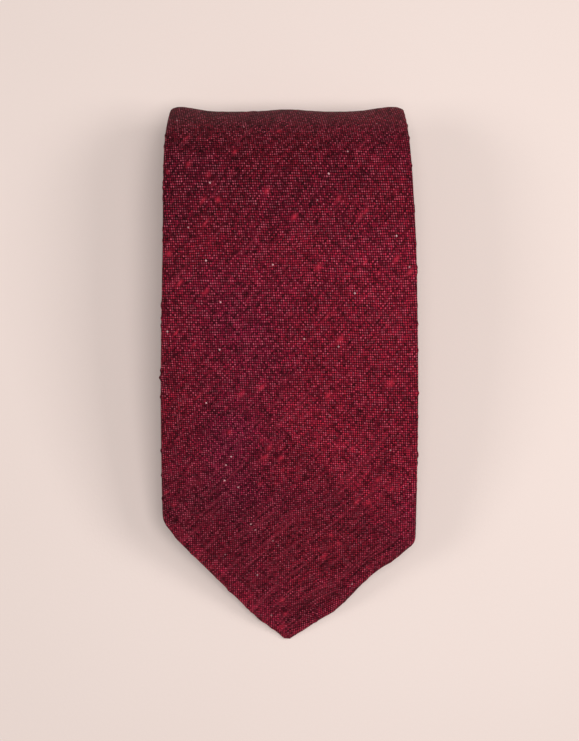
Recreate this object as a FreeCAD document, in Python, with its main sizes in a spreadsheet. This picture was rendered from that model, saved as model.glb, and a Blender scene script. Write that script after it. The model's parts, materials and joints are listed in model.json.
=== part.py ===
"""A rolled necktie: the wound tie, the blade draped off the top of the roll, and what is sewn to its back.

Row frame: X across the tie, -Y towards the blade's tip, +Z up. The origin is under the middle of the
tie, on the surface that it rests on. Every layer follows one path in the YZ plane. The path starts at
the blade's tip, climbs a straight incline, bends over an arch, runs level over the roll and then winds
inwards, clockwise, in half turns joined by short level runs. A layer is a range of offsets from that
path: the front silk is outermost, then the interlining, then the back silk.
"""
import FreeCAD
import Part
import Sketcher
import math
import os

V = FreeCAD.Vector

# ---------------------------------------------------------------- driving dimensions, in mm and degrees
DIMENSIONS = [
    ("tie_thickness", 1.95, "front silk, interlining and back silk together"),
    ("silk_thickness", 0.4, "one layer of the slubbed silk"),
    ("edge_wall", 0.5, "silk folded round each long edge"),
    ("layer_clearance", 0.05, "between the silk and the interlining"),
    ("turn_gap", 0.15, "between one turn of the roll and the next"),
    ("hinge_gap", 0.2, "between pieces that fold against each other"),
    ("seam_gap", 0.5, "between the two folded flaps along the back"),
    ("roll_radius", 26.6, "outer radius of the roll's ends"),
    ("flat_run", 16.0, "level run between half turns: the roll is slightly flattened"),
    ("arch_radius", 200.0, "radius of the draped blade, at mid thickness"),
    ("lift_step", 15.0, "turn of the arch between its two fold lines; the droop is twice this"),
    ("unroll_step", 60.0, "turn of the outer layer between two of its fold lines"),
    ("blade_width", 89.0, "blade at its corners"),
    ("crest_width", 81.6, "blade where it leaves the roll"),
    ("first_turn_width", 76.0, "blade after the roll's first half turn"),
    ("seam_width", 50.0, "where the blade is joined to the neck piece"),
    ("neck_width", 30.0, "narrowest part"),
    ("tail_width", 33.0, "tail at its corners"),
    ("tail_run", 16.5, "straight end of the tail, in the core"),
    ("tip_flat", 1.6, "blunt end of a sewn point"),
    ("hem_width", 6.0, "silk turned over along the point's edges"),
    ("flap_trim", 1.0, "how far the flaps' slanting edges stop short of a full square"),
    ("bar_tack_length", 7.0, "across the seam"),
    ("bar_tack_radius", 0.45, "wrapped thread"),
    ("keeper_width", 50.0, "keeper loop, across the tie"),
    ("keeper_depth", 11.0, "keeper loop, along the tie"),
    ("keeper_silk", 0.6, "keeper band thickness"),
    ("keeper_slot_height", 1.2, "slack between the keeper and the back silk"),
    ("keeper_from_tip", 115.0, "middle of the keeper, along the tie"),
    ("maker_label_width", 36.0, "blank woven label over the seam"),
    ("maker_label_depth", 13.0, "along the tie"),
    ("maker_label_from_tip", 99.0, "middle of that label, along the tie"),
    ("care_label_width", 13.0, "blank care label beside the other one"),
    ("care_label_depth", 9.0, "along the tie"),
    ("care_label_from_seam", 27.0, "middle of that label, across the tie"),
    ("label_thickness", 0.25, "woven ribbon"),
    ("label_stand_off", 0.2, "flat pieces keep this clear of the silk, which curves under them"),
    ("thread_radius", 0.22, "sewing thread"),
    ("thread_line", 0.2, "thickness of a row of stitches in a seam across the tie"),
]
BLADE_TURNS = 6      # half turns wound with the blade's silk
NECK_TURNS = 6       # half turns wound with the neck piece
TAIL_TURNS = 8       # half turns wound with the tail, before its straight end
JOIN_TURN = 8        # the two interlinings meet after this half turn
WIDEST = 120.0       # wider than the tie: how far a profile is extruded before it is trimmed

doc = FreeCAD.newDocument("Necktie")
sheet = doc.addObject("Spreadsheet::Sheet", "Sizes")
for row, (alias, value, note) in enumerate(DIMENSIONS, start=1):
    sheet.set("A%d" % row, alias)
    sheet.set("B%d" % row, str(value))
    sheet.set("C%d" % row, note)
    sheet.setAlias("B%d" % row, alias)
doc.recompute()


def size(alias):
    """The sheet's value for that alias."""
    return float(sheet.get(alias))


T = size("tie_thickness")
HALF = T / 2
INSIDE = HALF - size("silk_thickness")          # offset of the silk's inner faces
LINING = INSIDE - size("layer_clearance")       # offset of the interlining's faces
PITCH = T + size("turn_gap")
R_OUT = size("roll_radius")
RUN = size("flat_run")
ARCH = size("arch_radius")
DROOP = math.radians(2 * size("lift_step"))
INCLINE = (2 * R_OUT - HALF * (1 + math.cos(DROOP)) - ARCH * (1 - math.cos(DROOP))) / math.sin(DROOP)
REACH = ARCH * math.sin(DROOP) + INCLINE * math.cos(DROOP) + HALF * math.sin(DROOP)
Y_NEAR = (REACH - RUN - R_OUT) / 2              # centre of the roll's near half turns
Y_FAR = Y_NEAR + RUN                            # centre of its far half turns
TURNS = BLADE_TURNS + NECK_TURNS + TAIL_TURNS
SEAM_ROOM = size("thread_line") + 0.04          # between two lengths joined by a row of stitches
ARCH_END = INCLINE + ARCH * DROOP               # path length at the roll's top
SQUARE = size("blade_width") / 2                # the tip is half of a square set on its corner


# ---------------------------------------------------------------- the path
def turn_radius(turn):
    """Radius of a half turn at mid thickness. Turn 0 is the outermost."""
    return R_OUT - HALF - turn * PITCH / 2


def turn_centre(turn):
    """(y, z) of a half turn's centre."""
    if turn % 2 == 0:
        return Y_FAR, R_OUT
    return Y_NEAR, R_OUT - PITCH / 2


def draped(s):
    """(y, z, slope) of the draped blade at path length s from its tip, up to the roll's top."""
    top = 2 * R_OUT - HALF
    if s >= INCLINE:
        slope = max(0.0, (ARCH_END - s) / ARCH)
        level = min(0.0, ARCH_END - s)
        y = Y_NEAR - ARCH * math.sin(slope) - level
        return y, top - ARCH * (1 - math.cos(slope)), slope
    y, z, _ = draped(INCLINE)
    back = INCLINE - s
    return y - back * math.cos(DROOP), z - back * math.sin(DROOP), DROOP


def draped_point(s, n):
    """Point of the YZ plane at path length s and offset n from the draped blade."""
    y, z, slope = draped(s)
    return V(0, y - n * math.sin(slope), z + n * math.cos(slope))


def blade_width_at(s):
    """Width of the draped blade, s from its tip."""
    share = min(1.0, max(0.0, (s - SQUARE) / (ARCH_END - SQUARE)))
    return size("blade_width") + share * (size("crest_width") - size("blade_width"))


def turn_widths():
    """Width of the tie at the start and end of each half turn of the roll."""
    first = [size("crest_width"), size("first_turn_width")]
    wide = spread(first[1], size("seam_width"), BLADE_TURNS - 1)
    narrow = spread(size("seam_width"), size("neck_width"), NECK_TURNS // 2)
    neck = [size("neck_width")] * (NECK_TURNS - NECK_TURNS // 2)
    tail = spread(size("neck_width"), size("tail_width"), TAIL_TURNS)
    return first + wide + narrow + neck + tail


def spread(start, end, steps):
    """The values after start that lead to end in equal steps."""
    return [start + (end - start) * (i + 1) / steps for i in range(steps)]


WIDTHS = turn_widths()


# ---------------------------------------------------------------- solids along the path
def extrude_profile(edges, width):
    """A closed profile in the YZ plane, made into a solid of that width about the YZ plane."""
    face = Part.Face(Part.Wire(edges))
    solid = face.extrude(V(width, 0, 0))
    solid.translate(V(-width / 2, 0, 0))
    return solid


def prism(points, axis, low, high):
    """A solid from points of the plane square to axis ('y' or 'z'), from low to high along it."""
    if axis == "z":
        corners = [V(a, b, low) for a, b in points]
        along = V(0, 0, high - low)
    else:
        corners = [V(a, low, b) for a, b in points]
        along = V(0, high - low, 0)
    return Part.Face(Part.makePolygon(corners + corners[:1])).extrude(along)


def arc_edge(centre, radius, start, end):
    """Arc in the YZ plane from angle start to angle end, in radians from +Y towards +Z."""
    def at(angle):
        return V(0, centre[0] + radius * math.cos(angle), centre[1] + radius * math.sin(angle))
    return Part.Arc(at(start), at((start + end) / 2), at(end)).toShape()


def sector(centre, inner, outer, start, end, width):
    """Part of a ring between two angles and two radii, extruded to that width."""
    out = arc_edge(centre, outer, start, end)
    back = arc_edge(centre, inner, end, start)
    first = Part.makeLine(out.valueAt(out.LastParameter), back.valueAt(back.FirstParameter))
    last = Part.makeLine(back.valueAt(back.LastParameter), out.valueAt(out.FirstParameter))
    return extrude_profile(Part.__sortEdges__([out, first, back, last]), width)


def draped_slab(s0, s1, n0, n1):
    """The draped blade's layer from offset n0 to n1, between path lengths s0 and s1."""
    def side(a, b, n):
        """The edges of one face of the layer, from a to b."""
        edges = []
        if a < INCLINE:
            knee = min(b, INCLINE)
            edges.append(Part.makeLine(draped_point(a, n), draped_point(knee, n)))
        if b > INCLINE:
            start, end = max(a, INCLINE), min(b, ARCH_END)
            if end > start:
                mid = draped_point((start + end) / 2, n)
                edges.append(Part.Arc(draped_point(start, n), mid, draped_point(end, n)).toShape())
        if b > ARCH_END:
            edges.append(Part.makeLine(draped_point(max(a, ARCH_END), n), draped_point(b, n)))
        return edges
    ends = [Part.makeLine(draped_point(s, n0), draped_point(s, n1)) for s in (s0, s1)]
    return extrude_profile(Part.__sortEdges__(side(s0, s1, n0) + side(s0, s1, n1) + ends), WIDEST)


def plan_prism(outline):
    """An outline of (x, s) points on the draped blade, as an upright prism over the whole height."""
    return prism([(x, draped(s)[0]) for x, s in outline], "z", -5.0, 2 * R_OUT + 5.0)


def pointed_outline(inset, top):
    """(x, s) outline of the blade's end below path length top, moved inwards by inset."""
    slant = inset * math.sqrt(2)
    corner = SQUARE - inset
    blunt = max(size("tip_flat") / 2 - inset / 2, 0.2)
    right = [(blunt, slant + blunt - 2.0), (blunt, slant + blunt), (corner, corner + slant)]
    right += [(blade_width_at(s) / 2 - inset, s) for s in spread(corner + slant, top, 6)]
    return right + [(-x, s) for x, s in reversed(right)]


def square_window(margin):
    """(x, s) outline of the open square at the back of the point, between the hem and the two flaps."""
    hem = (size("hem_width") + margin) * math.sqrt(2)
    flap = (size("flap_trim") + margin) * math.sqrt(2)
    low, high = hem, 2 * SQUARE - flap
    side = (high - low) / 2
    climb = [(side * i / 4, low + side * i / 4) for i in range(4)]
    fall = [(side * (1 - i / 4), low + side * (1 + i / 4)) for i in range(4)]
    right = climb + fall
    return right + [(0, high)] + [(-x, s) for x, s in reversed(right[1:])]


def oblong(width, depth, middle):
    """(x, s) outline of a rectangle on the draped blade, centred on path length middle."""
    x, low, high = width / 2, middle - depth / 2, middle + depth / 2
    return [(-x, low), (x, low), (x, middle), (x, high), (-x, high), (-x, middle)]


def taper_prism(turn, inset):
    """Trims a half turn to the tie's width, which changes evenly with height between its two runs."""
    start, end = WIDTHS[turn] / 2 - inset, WIDTHS[turn + 1] / 2 - inset
    z = turn_centre(turn)[1]
    reach = turn_radius(turn)
    if turn % 2:
        start, end = end, start
    grow = (start - end) / 2 / reach
    middle = (start + end) / 2
    far = reach + PITCH
    top, low = middle + grow * far, middle - grow * far
    return prism([(top, z + far), (low, z - far), (-low, z - far), (-top, z + far)], "y", -200.0, 200.0)


def half_turn(turn, n0, n1, inset, start=0.0, end=180.0):
    """One layer of a half turn, between two angles in degrees along the winding."""
    centre, radius = turn_centre(turn), turn_radius(turn)
    first = math.radians(90.0 - start) if turn % 2 == 0 else math.radians(270.0 - start)
    last = first - math.radians(end - start)
    ring = sector(centre, radius + n0, radius + n1, first, last, WIDEST)
    return ring.common(taper_prism(turn, inset))


def level_run(turn, n0, n1, inset, length, skip=0.0):
    """One layer of the level run after a half turn, from skip beyond that half turn's end."""
    width = WIDTHS[turn + 1] - 2 * inset
    y, z = turn_centre(turn)
    radius = turn_radius(turn)
    if turn % 2 == 0:
        return Part.makeBox(width, length, n1 - n0, V(-width / 2, y - skip - length, z - radius - n1))
    return Part.makeBox(width, length, n1 - n0, V(-width / 2, y + skip, z + radius + n0))


def wound(first, last, n0, n1, inset, start=0.0, room=SEAM_ROOM):
    """One layer of the roll from half turn first to room before the end of the run after last - 1."""
    pieces = []
    for turn in range(first, last):
        pieces.append(half_turn(turn, n0, n1, inset, start if turn == first else 0.0))
        pieces.append(level_run(turn, n0, n1, inset, RUN - room if turn == last - 1 else RUN))
    return pieces[0].multiFuse(pieces[1:]).removeSplitter()


def join_line(turn, n0, n1, inset):
    """One layer of the row of stitches at the end of the level run after a half turn."""
    return level_run(turn, n0, n1, inset, size("thread_line"), RUN - (SEAM_ROOM + size("thread_line")) / 2)


def envelope(make, with_back=True):
    """Silk folded round the interlining: make(n0, n1, inset) gives a layer, and its seam stays open."""
    shell = make(-HALF, HALF, 0.0).cut(make(-INSIDE, INSIDE, size("edge_wall")))
    if with_back:
        shell = shell.cut(seam_slot(make))
    return shell


def seam_slot(make):
    """The gap between the two back flaps."""
    slot = make(-HALF - 0.1, -INSIDE + 0.1, 0.0)
    gap = size("seam_gap")
    return slot.common(Part.makeBox(gap, 400, 200, V(-gap / 2, -200, -50)))


def seam_thread(make):
    """The slip stitch's thread, lying in the gap between the flaps."""
    thread = make(-HALF + 0.05, -INSIDE - 0.05, 0.0)
    width = size("thread_radius")
    return thread.common(Part.makeBox(width, 400, 200, V(-width / 2, -200, -50)))


# ---------------------------------------------------------------- the tie's stretches, one for each body
LIFT_LINES = [ARCH_END - ARCH * math.radians(size("lift_step") * share) for share in (1.5, 0.5)]
GAP = size("hinge_gap") / 2
STEP = size("unroll_step")
GAP_ANGLE = math.degrees(GAP / R_OUT)           # half of a hinge gap, around the outermost layer


def point_stretch(n0, n1, inset):
    """The blade from its tip to the first line where it lifts."""
    slab = draped_slab(0.0, LIFT_LINES[0] - GAP, n0, n1)
    return slab.common(plan_prism(pointed_outline(inset, LIFT_LINES[0] + 1)))


def tapered_outline(low, high, inset):
    """(x, s) outline of the blade between two path lengths above its corners."""
    right = [(blade_width_at(s) / 2 - inset, s) for s in [low] + spread(low, high, 6)]
    return right + [(-x, s) for x, s in reversed(right)]


def middle_stretch(n0, n1, inset):
    """The blade between the two lines where it lifts."""
    low, high = LIFT_LINES
    slab = draped_slab(low + GAP, high - GAP, n0, n1)
    return slab.common(plan_prism(tapered_outline(low - 1, high + 1, inset)))


def crest_stretch(n0, n1, inset):
    """The blade over the top of the roll, to the first fold line of the outer half turn."""
    low, high = LIFT_LINES[1] + GAP, ARCH_END + RUN
    slab = draped_slab(low, high, n0, n1).common(plan_prism(tapered_outline(low - 1, high + 1, inset)))
    return slab.fuse(half_turn(0, n0, n1, inset, 0.0, STEP / 2 - GAP_ANGLE)).removeSplitter()


def upper_stretch(n0, n1, inset):
    """The outer half turn between its first and second fold lines."""
    return half_turn(0, n0, n1, inset, STEP / 2 + GAP_ANGLE, STEP * 1.5 - GAP_ANGLE)


def lower_stretch(n0, n1, inset):
    """The outer half turn between its second and third fold lines."""
    return half_turn(0, n0, n1, inset, STEP * 1.5 + GAP_ANGLE, STEP * 2.5 - GAP_ANGLE)


def blade_in_roll(n0, n1, inset):
    """The rest of the blade piece, wound in the roll up to its seam."""
    return wound(0, BLADE_TURNS, n0, n1, inset, STEP * 2.5 + GAP_ANGLE)


def neck_in_roll(n0, n1, inset):
    """The neck piece, wound in the roll."""
    return wound(BLADE_TURNS, BLADE_TURNS + NECK_TURNS, n0, n1, inset)


def tail_in_roll(n0, n1, inset):
    """The tail in the core of the roll, with its straight pointed end."""
    return wound_to_tip(BLADE_TURNS + NECK_TURNS, n0, n1, inset)


def wound_to_tip(first, n0, n1, inset):
    """One layer from half turn first to the tail's tip."""
    turns = wound(first, TURNS - 1, n0, n1, inset, room=0.0)
    last = half_turn(TURNS - 1, n0, n1, inset)
    end = level_run(TURNS - 1, n0, n1, inset, size("tail_run"))
    return turns.multiFuse([last, end.common(tail_prism(inset))]).removeSplitter()


def tail_prism(inset):
    """Upright prism that cuts the tail's point."""
    start = turn_centre(TURNS - 1)[0]
    half = size("tail_width") / 2 - inset
    blunt = size("tip_flat") / 2
    tip = start + size("tail_run") - inset * math.sqrt(2)
    right = [(half, start - 5.0), (half, tip - half + blunt), (blunt, tip)]
    return prism(right + [(-x, y) for x, y in reversed(right)], "z", -5.0, 2 * R_OUT)


# ---------------------------------------------------------------- nodes
NODES = []


def node(label, shape):
    """Keeps a worked-out shape as a node of the document."""
    made = doc.addObject("Part::Feature", label)
    made.Label = label
    made.Shape = shape
    NODES.append(made)
    return made


def bound(kind, label, **cells):
    """A primitive whose properties are expressions over the sheet."""
    made = doc.addObject(kind, label)
    made.Label = label
    for name, expression in cells.items():
        made.setExpression(name, expression)
    return made


def on_blade(s, n, x=0.0):
    """Placement at path length s and offset n, with local X across, Y up the blade and Z outwards."""
    at = draped_point(s, n)
    slope = math.degrees(draped(s)[2])
    return FreeCAD.Placement(V(x, at.y, at.z), FreeCAD.Rotation(V(1, 0, 0), slope))


def flap_seam(make, width, n0, n1, clip=None):
    """A narrow strip of a stretch along the middle of its back, clipped to a prism where one is given."""
    strip = make(n0, n1, 0.0).common(Part.makeBox(width, 400, 200, V(-width / 2, -200, -50)))
    return strip if clip is None else strip.common(clip)


def silk_over(make, clip=None):
    """Silk folded round the interlining of a stretch, with its back seam open."""
    shell = make(-HALF, HALF, 0.0).cut(make(-INSIDE, INSIDE, size("edge_wall")))
    return shell.cut(flap_seam(make, size("seam_gap"), -HALF - 0.1, -INSIDE + 0.1, clip))


def lining_in(make):
    """The interlining of a stretch."""
    return make(-LINING, LINING, size("edge_wall") + 0.1)


def slip_thread_in(make, clip=None):
    """The slip stitch's thread, which lies in the open back seam."""
    return flap_seam(make, size("thread_radius"), -HALF + 0.05, -INSIDE - 0.05, clip)


def stitches(label, placements, length):
    """A row of short straight stitches, each along the local X of its placement."""
    row = []
    for placement in placements:
        stitch = Part.makeCylinder(size("thread_radius"), length, V(-length / 2, 0, 0), V(1, 0, 0))
        stitch.Placement = placement
        row.append(stitch)
    return node(label, Part.makeCompound(row))


def flat_piece(label, width, depth, thickness, placement):
    """A flat rectangular piece: a sketch bound to the sheet, and a pad."""
    body = doc.addObject("PartDesign::Body", label)
    body.Label = label
    sketch = body.newObject("Sketcher::SketchObject", label + "_outline")
    plane = [p for p in body.Origin.OriginFeatures if p.Role == "XY_Plane"][0]
    sketch.AttachmentSupport = (plane, [""])
    sketch.MapMode = "FlatFace"
    w, d = size(width), size(depth)
    corners = [V(-w / 2, -d / 2), V(w / 2, -d / 2), V(w / 2, d / 2), V(-w / 2, d / 2)]
    for i in range(4):
        sketch.addGeometry(Part.LineSegment(corners[i], corners[(i + 1) % 4]))
    for i in range(4):
        sketch.addConstraint(Sketcher.Constraint("Coincident", i, 2, (i + 1) % 4, 1))
    for i in (0, 2):
        sketch.addConstraint(Sketcher.Constraint("Horizontal", i))
        sketch.addConstraint(Sketcher.Constraint("Vertical", i + 1))
    sketch.addConstraint(Sketcher.Constraint("Symmetric", 0, 1, 1, 2, -1, 1))
    across = sketch.addConstraint(Sketcher.Constraint("DistanceX", 0, 1, 0, 2, w))
    along = sketch.addConstraint(Sketcher.Constraint("DistanceY", 1, 1, 1, 2, d))
    sketch.setExpression("Constraints[%d]" % across, "Sizes." + width)
    sketch.setExpression("Constraints[%d]" % along, "Sizes." + depth)
    pad = body.newObject("PartDesign::Pad", label + "_pad")
    pad.Profile = sketch
    pad.setExpression("Length", "Sizes." + thickness)
    doc.recompute()
    body.Placement = placement
    NODES.append(body)
    return body


def silk_and_lining():
    """The silk, the interlining and the slip stitch of every stretch."""
    corner = 2 * SQUARE
    window = draped_slab(0.0, corner + 5.0, -HALF - 0.1, -INSIDE + 0.01)
    window = window.common(plan_prism(square_window(0.0)))
    above = plan_prism(oblong(4.0, 70.0, corner + 35.5))
    for name, make, clip in (("point", point_stretch, above), ("middle", middle_stretch, above),
                             ("crest", crest_stretch, None), ("upper_turn", upper_stretch, None),
                             ("lower_turn", lower_stretch, None), ("wound", blade_in_roll, None)):
        silk = silk_over(make, clip)
        if name in ("point", "middle"):
            silk = silk.cut(window)
        node("blade_silk_" + name, silk)
        if name != "wound":
            node("blade_interlining_" + name, lining_in(make))
        if name != "point":
            node("slip_thread_" + name, slip_thread_in(make, clip))


def tipping():
    """The lining of the blade's point, in the open square at its back."""
    low, high = LIFT_LINES[0] - GAP, LIFT_LINES[0] + GAP
    inside = plan_prism(square_window(0.15))
    node("blade_tipping", draped_slab(0.0, low, -HALF + 0.02, -INSIDE - 0.02).common(inside))
    top = draped_slab(high, 2 * SQUARE, -HALF + 0.02, -INSIDE - 0.02)
    node("blade_tipping_top", top.common(inside))


def tail_back(run):
    """Prism over the open triangle at the back of the tail's point, inside a turned hem."""
    start, height = turn_centre(TURNS - 1)
    height += turn_radius(TURNS - 1)
    tip = start + size("tail_run") - run * math.sqrt(2)
    base = start + 0.5
    corners = [(tip - base, base), (0, tip), (base - tip, base)]
    return prism(corners, "z", height - HALF - size("turn_gap") / 2, height)


def wound_lengths():
    """The neck piece, the tail, both wound interlinings and the rows of stitches between lengths."""
    tail_turn = BLADE_TURNS + NECK_TURNS
    node("neck_silk", silk_over(neck_in_roll))
    node("slip_thread_neck", slip_thread_in(neck_in_roll))
    hem = size("hem_width") / 2
    end = level_run(TURNS - 1, -HALF - 0.1, -INSIDE + 0.01, 0.0, size("tail_run"))
    start, height = turn_centre(TURNS - 1)
    back = V(-5, start + 0.5, height + turn_radius(TURNS - 1) - HALF - size("turn_gap") / 2)
    straight_back = Part.makeBox(10, size("tail_run") + 0.5, HALF, back)
    turns_only = Part.makeBox(4.0, 400, 200, V(-2, -200, -50)).cut(straight_back)
    node("tail_silk", silk_over(tail_in_roll, turns_only).cut(end.common(tail_back(hem))))
    node("slip_thread_tail", slip_thread_in(tail_in_roll, turns_only))
    lining = level_run(TURNS - 1, -HALF + 0.02, -INSIDE - 0.02, 0.0, size("tail_run"))
    node("tail_tipping", lining.common(tail_back(hem + 0.15)))

    inset = size("edge_wall") + 0.1
    start = STEP * 2.5 + GAP_ANGLE
    node("blade_interlining_wound", wound(0, JOIN_TURN, -LINING, LINING, inset, start))
    node("tail_interlining", wound_to_tip(JOIN_TURN, -LINING, LINING, inset))
    node("interlining_join_stitches", join_line(JOIN_TURN - 1, -LINING, LINING, inset))
    for label, turn in (("blade_to_neck_stitches", BLADE_TURNS), ("neck_to_tail_stitches", tail_turn)):
        ring = join_line(turn - 1, -HALF, HALF, 0.0).cut(join_line(turn - 1, -INSIDE, INSIDE, 0.5))
        node(label, ring)


def bar_tack(label, placement):
    """A short bar of wrapped thread across the seam."""
    tack = bound("Part::Cylinder", label, Radius="Sizes.bar_tack_radius", Height="Sizes.bar_tack_length")
    across = FreeCAD.Placement(V(-size("bar_tack_length") / 2, 0, 0), FreeCAD.Rotation(V(0, 1, 0), 90))
    tack.Placement = placement.multiply(across)
    NODES.append(tack)


def tail_trim():
    """The tail's bar tack and the stitches round its tipping, in the hollow of the core."""
    y, z = turn_centre(TURNS - 1)
    tack = size("bar_tack_radius") + 0.05
    lower = R_OUT - turn_radius(TURNS - 2) + HALF + tack
    bar_tack("tail_bar_tack", FreeCAD.Placement(V(0, y + 1.5, lower), FreeCAD.Rotation()))
    under = z + turn_radius(TURNS - 1) - HALF - size("thread_radius") - 0.02
    tip = y + size("tail_run") - size("hem_width") / 2 * math.sqrt(2)
    rows = []
    for step in range(1, 6):
        for side in (-1, 1):
            rows.append(FreeCAD.Placement(V(side * 2.0 * step, tip - 2.0 * step, under), FreeCAD.Rotation()))
    stitches("tail_tipping_stitches", rows, 1.4)


def keeper():
    """The loop of silk on the blade's back that the tail passes through, and its stitches."""
    low = "(Sizes.keeper_slot_height + Sizes.keeper_silk)"
    band = bound("Part::Box", "keeper_band", Length="Sizes.keeper_width", Width="Sizes.keeper_depth",
                 Height=low)
    slot = bound("Part::Box", "keeper_slot", Length="Sizes.keeper_width - 2 * Sizes.keeper_silk",
                 Width="Sizes.keeper_depth + 2", Height="Sizes.keeper_slot_height + 1")
    slot.Placement.Base = V(size("keeper_silk"), -1, size("keeper_silk"))
    loop = doc.addObject("Part::Cut", "keeper_loop")
    loop.Label = "keeper_loop"
    loop.Base, loop.Tool = band, slot
    doc.recompute()
    wide, deep = size("keeper_width"), size("keeper_depth")
    height = size("keeper_slot_height") + size("keeper_silk")
    back = -HALF - 0.1
    corner = FreeCAD.Placement(V(-wide / 2, -deep / 2, -height), FreeCAD.Rotation())
    loop.Placement = on_blade(size("keeper_from_tip"), back).multiply(corner)
    NODES.append(loop)
    radius = size("thread_radius")
    ends = [on_blade(size("keeper_from_tip") + share * deep, back - radius, side * (wide / 2 + 0.85))
            for side in (-1, 1) for share in (-0.3, 0.0, 0.3)]
    stitches("keeper_stitches", ends, 1.6)


def labels():
    """The two blank labels on the blade's back and the stitches at their ends."""
    back = -HALF - size("label_stand_off")
    under = back - size("label_thickness")
    at = size("maker_label_from_tip")
    flat_piece("maker_label", "maker_label_width", "maker_label_depth", "label_thickness", on_blade(at, under))
    aside = size("care_label_from_seam")
    flat_piece("care_label", "care_label_width", "care_label_depth", "label_thickness",
               on_blade(at, under, aside))
    radius = size("thread_radius")
    wide, deep = size("maker_label_width"), size("maker_label_depth")
    rows = [on_blade(at + share * deep, under - radius - 0.02, side * (wide / 2 - 1.4))
            for side in (-1, 1) for share in (-0.36, -0.12, 0.12, 0.36)]
    rows += [on_blade(at + share * size("care_label_depth"), under - radius - 0.02, aside - 4.6)
             for share in (-0.3, 0.0, 0.3)]
    stitches("label_stitches", rows, 1.6)


def hem_stitches():
    """The small stitches that hold the tipping to the hem, along both edges of the blade's point."""
    slant = size("hem_width") * math.sqrt(2)
    count = 14
    rows = []
    for side in (-1, 1):
        for i in range(1, count):
            x = (SQUARE - slant) * i / count
            rows.append(on_blade(slant + x, -HALF - size("thread_radius") - 0.02, side * x))
    stitches("blade_tipping_stitches", rows, 1.4)


silk_and_lining()
tipping()
wound_lengths()
bar_tack("blade_bar_tack", on_blade(2 * SQUARE + 1.5, -HALF - size("bar_tack_radius") - 0.05))
tail_trim()
keeper()
labels()
hem_stitches()
doc.recompute()

os.makedirs("parts", exist_ok=True)
for item in doc.Objects:
    if "Invalid" in item.State or "Error" in item.State:
        raise RuntimeError("%s did not compute: %s" % (item.Label, item.State))
for item in NODES:
    if item.Shape.isNull() or not item.Shape.isValid():
        raise RuntimeError("%s has no valid shape" % item.Label)
    item.Shape.exportStep(os.path.join("parts", item.Label + ".step"))
    box = item.Shape.BoundBox
    print("%-28s %9.2f mm3  %d solids  x %.2f %.2f  y %.2f %.2f  z %.2f %.2f" % (
        item.Label, item.Shape.Volume, len(item.Shape.Solids), box.XMin, box.XMax, box.YMin, box.YMax,
        box.ZMin, box.ZMax))
length = (ARCH_END + RUN * TURNS + math.pi * sum(turn_radius(turn) for turn in range(TURNS))
          + size("tail_run"))
print("necktie length %.0f mm" % length)
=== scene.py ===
"""A rolled necktie of slubbed shot silk, its blade draped off the top of the roll.

Every piece of cloth is made on one strip: x across the tie, s along it from the blade's tip, and n out of
its middle layer, all in millimetres. surface() takes those three to the place where the cloth lies.
"""

import bmesh
import bpy
import json
import math
import numpy as np
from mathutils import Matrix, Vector

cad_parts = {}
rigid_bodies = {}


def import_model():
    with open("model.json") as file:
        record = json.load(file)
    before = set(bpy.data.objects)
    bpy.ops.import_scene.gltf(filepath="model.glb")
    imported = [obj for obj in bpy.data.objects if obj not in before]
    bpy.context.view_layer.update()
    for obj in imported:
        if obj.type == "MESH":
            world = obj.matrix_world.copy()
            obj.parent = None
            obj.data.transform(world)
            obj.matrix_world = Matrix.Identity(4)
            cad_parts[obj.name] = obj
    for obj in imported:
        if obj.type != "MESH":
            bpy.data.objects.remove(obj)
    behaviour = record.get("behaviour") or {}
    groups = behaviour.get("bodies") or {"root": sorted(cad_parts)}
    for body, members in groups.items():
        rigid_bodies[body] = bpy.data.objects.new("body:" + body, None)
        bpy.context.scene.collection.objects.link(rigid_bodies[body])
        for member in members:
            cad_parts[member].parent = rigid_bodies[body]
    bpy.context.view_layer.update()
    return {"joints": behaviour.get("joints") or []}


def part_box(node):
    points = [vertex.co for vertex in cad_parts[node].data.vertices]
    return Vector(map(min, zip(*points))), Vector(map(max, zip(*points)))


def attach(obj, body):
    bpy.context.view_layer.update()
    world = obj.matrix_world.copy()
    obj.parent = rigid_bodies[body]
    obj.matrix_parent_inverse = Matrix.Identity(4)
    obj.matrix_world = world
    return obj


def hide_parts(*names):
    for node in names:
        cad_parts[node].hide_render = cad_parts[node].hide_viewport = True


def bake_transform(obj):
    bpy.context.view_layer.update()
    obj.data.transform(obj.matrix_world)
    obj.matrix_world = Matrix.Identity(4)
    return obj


for leftover in list(bpy.data.objects):
    bpy.data.objects.remove(leftover)
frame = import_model()
rng = np.random.default_rng(7)

# ------------------------------------------------------------------ the strip's path, in mm
joint_at = {joint["name"]: np.array(joint["pos_m"]) * 1000 for joint in frame["joints"]}
THICK = 1.95                                # of the folded tie, through all its layers
HALF = THICK / 2
PITCH = 2.1                                 # what the roll's radius loses in a whole turn
RUN = 16.0                                  # level run between two half turns
ARCH = 200.0                                # radius of the drape's arch
DROOP = math.radians(30)                    # slope of the blade's straight lower part
TURNS = 20                                  # half turns of the roll
BLADE_TURNS = 6                             # of them, wound with the blade's silk
NECK_TURNS = 6                              # and with the neck piece
TAIL_RUN = 16.5                             # the tail's straight end
R_OUT = joint_at["unroll_middle"][2]
Y_FAR = joint_at["unroll_middle"][1] - R_OUT
Y_NEAR = Y_FAR - RUN
TOP = 2 * R_OUT - HALF
INCLINE = (TOP - HALF * math.cos(DROOP) - ARCH * (1 - math.cos(DROOP))) / math.sin(DROOP)
ARCH_END = INCLINE + ARCH * DROOP
FIRST_TURN = ARCH_END + RUN
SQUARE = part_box("blade_silk_point")[1][0] * 1000
HEM = 6.0 * math.sqrt(2)                    # the hem's height along the middle of the point
APEX = 2 * SQUARE - 1.4                     # where the two flaps meet
SEAM_X = -2.2                               # the back seam wanders a little to one side
BLUNT = 1.15                                # how far the folded edge stands out at the tip
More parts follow.
